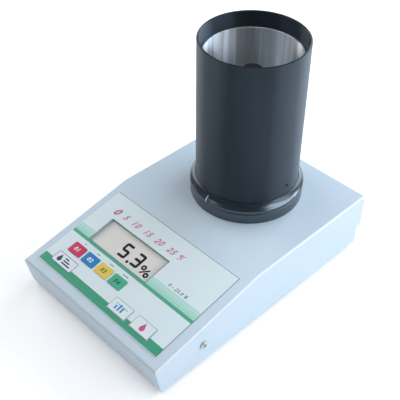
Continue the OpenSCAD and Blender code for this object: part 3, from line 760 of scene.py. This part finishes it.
def build_index_line(path):
    """The white line: a thin strip of paint along a (radius, height) path on the collar."""
    half, proud, rise = 0.32 * MM, 0.05 * MM, 0.7  # it stands off outwards and, less, upwards
    angle = math.radians(-91)
    out = Vector((math.cos(angle), math.sin(angle), 0))
    side = Vector((-out.y, out.x, 0))
    centre = Vector((CELL_X, CELL_Y, DECK_Z))
    rings = []
    for radius, height in path:
        under, over = (
            centre + out * (radius + lift) + Vector((0, 0, height + lift * rise))
            for lift in (-proud, proud)
        )
        rings.append([under - side * half, under + side * half, over + side * half, over - side * half])
    solids("index_line", [rings], INKS["white"], HOUSING)


def build_sleeve(name, node, bore_r, edge, steps):
    """A plain tube with a rounded upper end."""
    outer, foot, top = box_of_turned(node)
    profile = (
        [(bore_r, foot), (outer, foot)]
        + fillet(outer - edge, top - edge, edge, 0, 90)
        + fillet(bore_r + edge, top - edge, edge, 90, 180)
    )
    lathe(name, profile, node, steps)


def build_electrode():
    """The rod in the middle of the cell, and the insulating cap on it with its small centre mark."""
    outer, foot, top = box_of_turned("electrode_cap")
    edge = 1.0 * MM
    profile = (
        [(0, foot), (outer - 0.2 * MM, foot), (outer, foot + 0.2 * MM)]
        + fillet(outer - edge, top - edge, edge, 0, 90)
        + [(1.6 * MM, top), (1.3 * MM, top - 0.5 * MM), (0, top - 0.6 * MM)]
    )
    solid_lathe("electrode_button", profile, "electrode_cap")
    outer, foot, top = box_of_turned("centre_electrode")
    stud_r, boss = 3 * MM, 8 * MM
    profile = [
        (0, foot), (stud_r - 0.4 * MM, foot), (stud_r, foot + 0.4 * MM), (stud_r, boss),
        (outer - 0.3 * MM, boss), (outer, boss + 0.3 * MM),
        (outer, top - 0.2 * MM), (outer - 0.2 * MM, top), (0, top),
    ]
    solid_lathe("electrode_rod", profile, "centre_electrode")


# ---------------------------------------------------------------- panel keys


def key_place(node):
    """Centre of a key on the panel, and its width and length, in mm."""
    lo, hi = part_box(node)
    length = 9.7 if node in GRADE_KEYS else 10.9
    rear = (hi.y - PANEL_ORIGIN.y) / UP_SLOPE.y / MM
    return (lo.x + hi.x) / 2 / MM, rear - length / 2, (hi.x - lo.x) / MM, length


PLACES = {node: key_place(node) for node in GRADE_KEYS + COMMAND_KEYS}


def build_key(node):
    """An embossed pad: soft shoulders, a faintly domed face, and the stem under it."""
    x, s, w, l = PLACES[node]
    slot = SLOT_OF[node]
    corner_r, stem_r, stem_foot = 1.2, 1.5, -8.0
    # (inset, height) of each ring from the underside over the shoulder to the face
    rings = [
        (0.15, -0.08), (0.0, 0.02), (0.0, 0.24), (0.12, 0.34), (0.35, 0.395),
        (0.8, FACE), (2.2, FACE + 0.005),
    ]
    pad = []
    for inset, height in rings:
        outline = rounded(x, s, w - 2 * inset, l - 2 * inset, max(0.25, corner_r - inset))
        pad.append([on_panel(px, ps, height) for px, ps in outline])
    stem = [[on_panel(px, ps, n) for px, ps in disc(x, s, stem_r, 24)] for n in (stem_foot, 0.0)]
    obj = solids("pad_" + node[4:], [pad, stem], SLOTS[slot], node, smooth=40)
    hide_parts(node)


def mark_keys():
    """Figures on the coloured keys. A bar chart for the averaging key, a drop for the measuring key."""
    for number, (node, tint) in enumerate(zip(GRADE_KEYS, ("white", "white", "olive", "teal")), start=1):
        x, s = PLACES[node][:2]
        text_piece(
            f"figure_{number}", f"{number:02d}", x - 3.0, s - 1.6, 3.4, INKS[tint], node,
            n=FACE, shear=0.2, spacing=1.2, bold=0.14,
        )
    for node in COMMAND_KEYS:
        x, s, w, l = PLACES[node]
        outer = rounded(x, s, w - 0.1, l - 0.1, 1.2)
        inner = rounded(x, s, w - 0.8, l - 0.8, 0.95)
        frame_prism("outline_" + node[4:], outer, inner, 0.22, 0.42, INKS["grey"], node)
    x, s = PLACES["key_average"][:2]
    foot, pitch, bar_w = s - 2.8, 3.0, 1.7
    chart = [rect(x - 6, s + 1.5, x + 6, s + 1.95)]
    for i, height in enumerate((3.2, 5.4, 4.2)):
        left = x - 4.6 + i * pitch
        chart.append(rect(left, foot, left + bar_w, foot + height))
    prism("mark_average", chart, FACE, FACE + INK, INKS["blue"], "key_average")
    x, s = PLACES["key_measure"][:2]
    prism("mark_measure", [drop(x, s - 1.1, 2.2)], FACE, FACE + INK, INKS["crimson"], "key_measure")


# ---------------------------------------------------------------- printing on the overlay


def print_overlay():
    """The green band and rule, the pale stripes, the line round the window, and painted shadow lines along the
    film's far and right edges.
    """
    left, right = LEFT + MARGIN, RIGHT - MARGIN
    # the band runs under the two command keys, and between them up to its full height
    band_s, gap = 7.5, 0.2
    x, s, w, l = PLACES["key_average"]
    key_foot = s - l / 2 - gap
    edges = [left]
    for x, s, w, l in sorted(PLACES[node] for node in COMMAND_KEYS):
        edges += [x - w / 2 - gap, x + w / 2 + gap]
    edges.append(right)
    band = [rect(left, 0.3, right, key_foot)]
    band += [rect(a, key_foot, b, band_s) for a, b in zip(edges[::2], edges[1::2])]
    prism("print_band", band, 0, INK, INKS["green"], HOUSING)
    rule_s, stripes_s = 33.4, 36.0
    prism("print_rule", [rect(left, rule_s, right, stripes_s)], 0, INK, INKS["rule_green"], HOUSING)
    pitch, widths = 1.28, (1.0, 1.0, 1.0, 1.0, 1.0, 1.2)
    beside = [(left, WINDOW_L - 0.5), (WINDOW_R + 0.5, right)]
    for i, tint in enumerate(("tint_1", "tint_1", "tint_2", "tint_2", "tint_3", "tint_3")):
        s0 = stripes_s + pitch * i
        stripe = [rect(a, s0, b, s0 + widths[i]) for a, b in beside]
        prism(f"print_stripe_{i + 1}", stripe, 0, INK, INKS[tint], HOUSING)
    x, s = (WINDOW_L + WINDOW_R) / 2, (WINDOW_S0 + WINDOW_S1) / 2
    w, l = WINDOW_R - WINDOW_L, WINDOW_S1 - WINDOW_S0
    outer, inner = rounded(x, s, w + 0.9, l + 0.9, 0.6), rounded(x, s, w, l, 0.2)
    frame_prism("print_border", outer, inner, 0, INK, INKS["border"], HOUSING)
    # painted shadow: a thin dark line on the film's far and right edges, where the recess it lies in shades it
    top, corner = PANEL_L / MM, RIGHT - 0.55
    lines = [rect(corner, 0.25, RIGHT - 0.1, top - 0.1), rect(LEFT + 0.2, top - 0.45, corner, top - 0.1)]
    prism("print_edge_shadow", lines, 0, INK, INKS["edge"], HOUSING)


def print_marks():
    """A scale, a range and dots, where such an instrument is lettered, and a plain plate."""
    text_piece(
        "print_scale_start", "0", -54.0, 64.4, 6.4, INKS["crimson"], HOUSING, n=0, shear=0.4, bold=0.3
    )
    text_piece(
        "print_scale", "5  10  15  20  25 %", -43.5, 65.6, 5.0, INKS["rose"], HOUSING,
        n=0, shear=0.4, spacing=1.18, bold=0.2,
    )
    text_piece(
        "print_range", "0 - 25.0 %", 29.0, 45.1, 2.7, INKS["navy"], HOUSING,
        n=0, shear=0.25, spacing=1.2, bold=0.05,
    )
    # one to four dots above the coloured keys, 1.5 mm apart
    for number, node in enumerate(GRADE_KEYS, start=1):
        x, s, w, l = PLACES[node]
        first = x + 1.0 - (number - 1) * 0.75
        dots = [disc(first + i * 1.5, s + l / 2 + 2.4, 0.5, 14) for i in range(number)]
        prism(f"print_dots_{number}", dots, 0, INK, INKS["navy"], HOUSING)
    # plain plate with a drop and three bars
    x, s, w, l = -46.4, 10.0, 22.0, 9.8
    face, mark = INK + 0.05, INK + 0.09
    outer, inner = rounded(x, s, w, l, 1.6), rounded(x, s, w - 0.8, l - 0.8, 1.3)
    prism("plate_face", [outer], INK, face, INKS["plate"], HOUSING)
    frame_prism("plate_outline", outer, inner, face, mark, INKS["navy"], HOUSING)
    marks = [drop(x - 5.6, s - 0.8, 2.0)]
    for i in range(3):
        foot = s - 2.6 + 2.2 * i
        marks.append(rect(x - 1.6, foot, x + 7.4 - 2.4 * i, foot + 1.1))
    prism("plate_mark", marks, face, mark, INKS["navy"], HOUSING)


# ---------------------------------------------------------------- display


def segment(start_x, start_s, end_x, end_s, width):
    """Outline of a straight stroke with rounded ends."""
    turn = math.degrees(math.atan2(end_s - start_s, end_x - start_x))
    return (
        arc(end_x, end_s, width / 2, turn - 90, turn + 90, 8)
        + arc(start_x, start_s, width / 2, turn + 90, turn + 270, 8)
    )


def seven_segment(lit, x, s, w, h, width):
    """The lit segments of one figure, as outlines. a is the top, then clockwise, g the middle."""
    r = width / 2
    left, right, low, middle, high = x + r, x + w - r, s + r, s + h / 2, s + h - r
    gap = width * 0.24
    ends = {
        "a": (left + gap, high, right - gap, high),
        "b": (right, high - gap, right, middle + gap),
        "c": (right, middle - gap, right, low + gap),
        "d": (left + gap, low, right - gap, low),
        "e": (left, middle - gap, left, low + gap),
        "f": (left, high - gap, left, middle + gap),
        "g": (left + gap, middle, right - gap, middle),
    }
    return [segment(*ends[k], width) for k in lit]


def ring_outlines(cx, cs, size, width):
    """A small rounded O from eight strokes."""
    a = (size - width) / 2
    b = a * 0.45
    corners = [(-b, a), (b, a), (a, b), (a, -b), (b, -a), (-b, -a), (-a, -b), (-a, b)]
    return [
        segment(cx + corners[i][0], cs + corners[i][1], cx + corners[j][0], cs + corners[j][1], width)
        for i, j in around(len(corners))
    ]


def show_reading():
    """The reading on the display's face: two figures, a point and a percent sign."""
    glass = -OVERLAY_T / MM - 1.4
    foot, stroke, thin = 40.3, 2.2, 1.45
    figures = seven_segment("afgcd", -23.2, foot, 8.2, 13.4, stroke)
    figures += seven_segment("abgcd", -9.1, foot, 7.9, 12.9, stroke)
    figures += [disc(-11.1, foot + 0.4, 1.25)]
    figures += ring_outlines(3.2, foot + 4.8, 4.4, thin) + ring_outlines(9.0, foot + 0.8, 4.4, thin)
    figures += [segment(3.4, foot, 8.7, foot + 5.4, 1.3)]
    prism("display_figures", figures, glass, glass + INK, INKS["digit"], HOUSING, smooth=40)


# ---------------------------------------------------------------- battery drawer


def build_drawer_ribs():
    """Three grip ribs on the drawer's outer face."""
    lo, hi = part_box("battery_drawer")
    section = [(-0.3, -0.45), (0.25, -0.35), (0.4, 0.0), (0.25, 0.35), (-0.3, 0.45)]
    first_z, pitch, inset = lo.z + 4.2 * MM, 1.5 * MM, 5 * MM
    ribs = []
    for k in range(3):
        z = first_z + k * pitch
        ribs.append([
            [(x, hi.y + dy * MM, z + dz * MM) for dy, dz in section] for x in (lo.x + inset, hi.x - inset)
        ])
    slot = SLOT_OF["battery_drawer"]
    solids("drawer_ribs", ribs, SLOTS[slot], "battery_drawer", smooth=50)


# ---------------------------------------------------------------- stage, light, camera


def build_stage():
    """A square of white paper under the object."""
    half = 6.0
    corners = [(-half, -half, 0), (half, -half, 0), (half, half, 0), (-half, half, 0)]
    mesh = bpy.data.meshes.new("floor")
    mesh.from_pydata(corners, [], [[0, 1, 2, 3]])
    mesh.materials.append(floor_paint("floor_paint"))
    floor = bpy.data.objects.new("floor", mesh)
    bpy.context.scene.collection.objects.link(floor)


def area_light(name, place, size, power, colour, target=(0, 0.03, 0.05)):
    """A soft box at a place, turned to the target. Its power is in watts."""
    light = bpy.data.lights.new(name, "AREA")
    light.shape = "RECTANGLE"
    light.size, light.size_y = size
    light.energy = power
    light.color = colour
    obj = bpy.data.objects.new(name, light)
    obj.location = place
    obj.rotation_mode = "QUATERNION"
    obj.rotation_quaternion = (Vector(target) - Vector(place)).to_track_quat("-Z", "Y")
    bpy.context.scene.collection.objects.link(obj)


def build_room():
    """Dim blue light from all round, and a white wall behind the floor that lights nothing."""
    world = bpy.data.worlds.new("studio")
    bpy.context.scene.world = world
    world.use_nodes = True
    tree = world.node_tree
    room = tree.nodes["Background"]
    room.inputs["Color"].default_value = (0.80, 0.90, 1.0, 1)
    room.inputs["Strength"].default_value = 0.10
    wall = tree.nodes.new("ShaderNodeBackground")
    wall.inputs["Color"].default_value = (1.0, 1.0, 1.0, 1)
    path = tree.nodes.new("ShaderNodeLightPath")
    seen = tree.nodes.new("ShaderNodeMixShader")
    tree.links.new(path.outputs["Is Camera Ray"], seen.inputs["Fac"])
    tree.links.new(room.outputs["Background"], seen.inputs[1])
    tree.links.new(wall.outputs["Background"], seen.inputs[2])
    tree.links.new(seen.outputs["Shader"], tree.nodes["World Output"].inputs["Surface"])


def build_light():
    """Windows on the right and behind, a ceiling light, and weaker light from the left."""
    area_light("key", (1.05, 0.60, 0.85), (1.4, 0.5), 10, (0.91, 0.94, 1.0))
    area_light("low", (1.10, 0.55, 0.32), (0.8, 0.3), 1.4, (0.85, 0.91, 1.0))
    area_light("window", (0.18, 1.22, 0.64), (1.25, 0.4), 17, (0.80, 0.91, 1.0))
    area_light("top", (0.10, -0.05, 1.25), (0.9, 0.9), 3.6, (0.97, 0.99, 1.0))
    area_light("fill", (-1.20, 0.02, 0.72), (0.9, 0.4), 5.5, (1.0, 0.92, 0.90))
    mouth = (0, 0.03, 0.18)
    area_light("skylight", (-0.62, -0.50, 1.00), (0.9, 0.45), 3.4, (0.95, 0.98, 1.0), mouth)


def build_camera():
    """The photo's view: from the front right and above, with a slight roll."""
    azimuth, elevation, roll = math.radians(45.21), math.radians(41.07), math.radians(0.52)
    distance, aim = 0.600, Vector((0.0003, 0.0013, 0.0648))
    level = Vector((math.sin(azimuth), -math.cos(azimuth), 0))
    back = level * math.cos(elevation) + Vector((0, 0, math.sin(elevation)))
    data = bpy.data.cameras.new("camera")
    data.lens, data.sensor_width = 72.4, 36
    camera = bpy.data.objects.new("camera", data)
    camera.location = aim + back * distance
    turn = (-back).to_track_quat("-Z", "Y").to_matrix().to_4x4()
    camera.rotation_mode = "QUATERNION"
    camera.rotation_quaternion = (turn @ Matrix.Rotation(roll, 4, "Z")).to_quaternion()
    bpy.context.scene.collection.objects.link(camera)
    bpy.context.scene.camera = camera


for node_name in NODES:
    dress_cad(node_name)
build_tube()
index_path = build_collar()
build_flange()
build_index_line(index_path)
build_sleeve("liner", "cell_liner", 35 * MM, 0.3 * MM, 256)
build_sleeve("sleeve", "insulating_sleeve", 36.22 * MM, 0.2 * MM, 192)
build_electrode()
for node_name in PLACES:
    build_key(node_name)
mark_keys()
print_overlay()
print_marks()
show_reading()
build_drawer_ribs()
build_stage()
build_room()
build_light()
build_camera()
bpy.context.scene.view_settings.view_transform = "Standard"
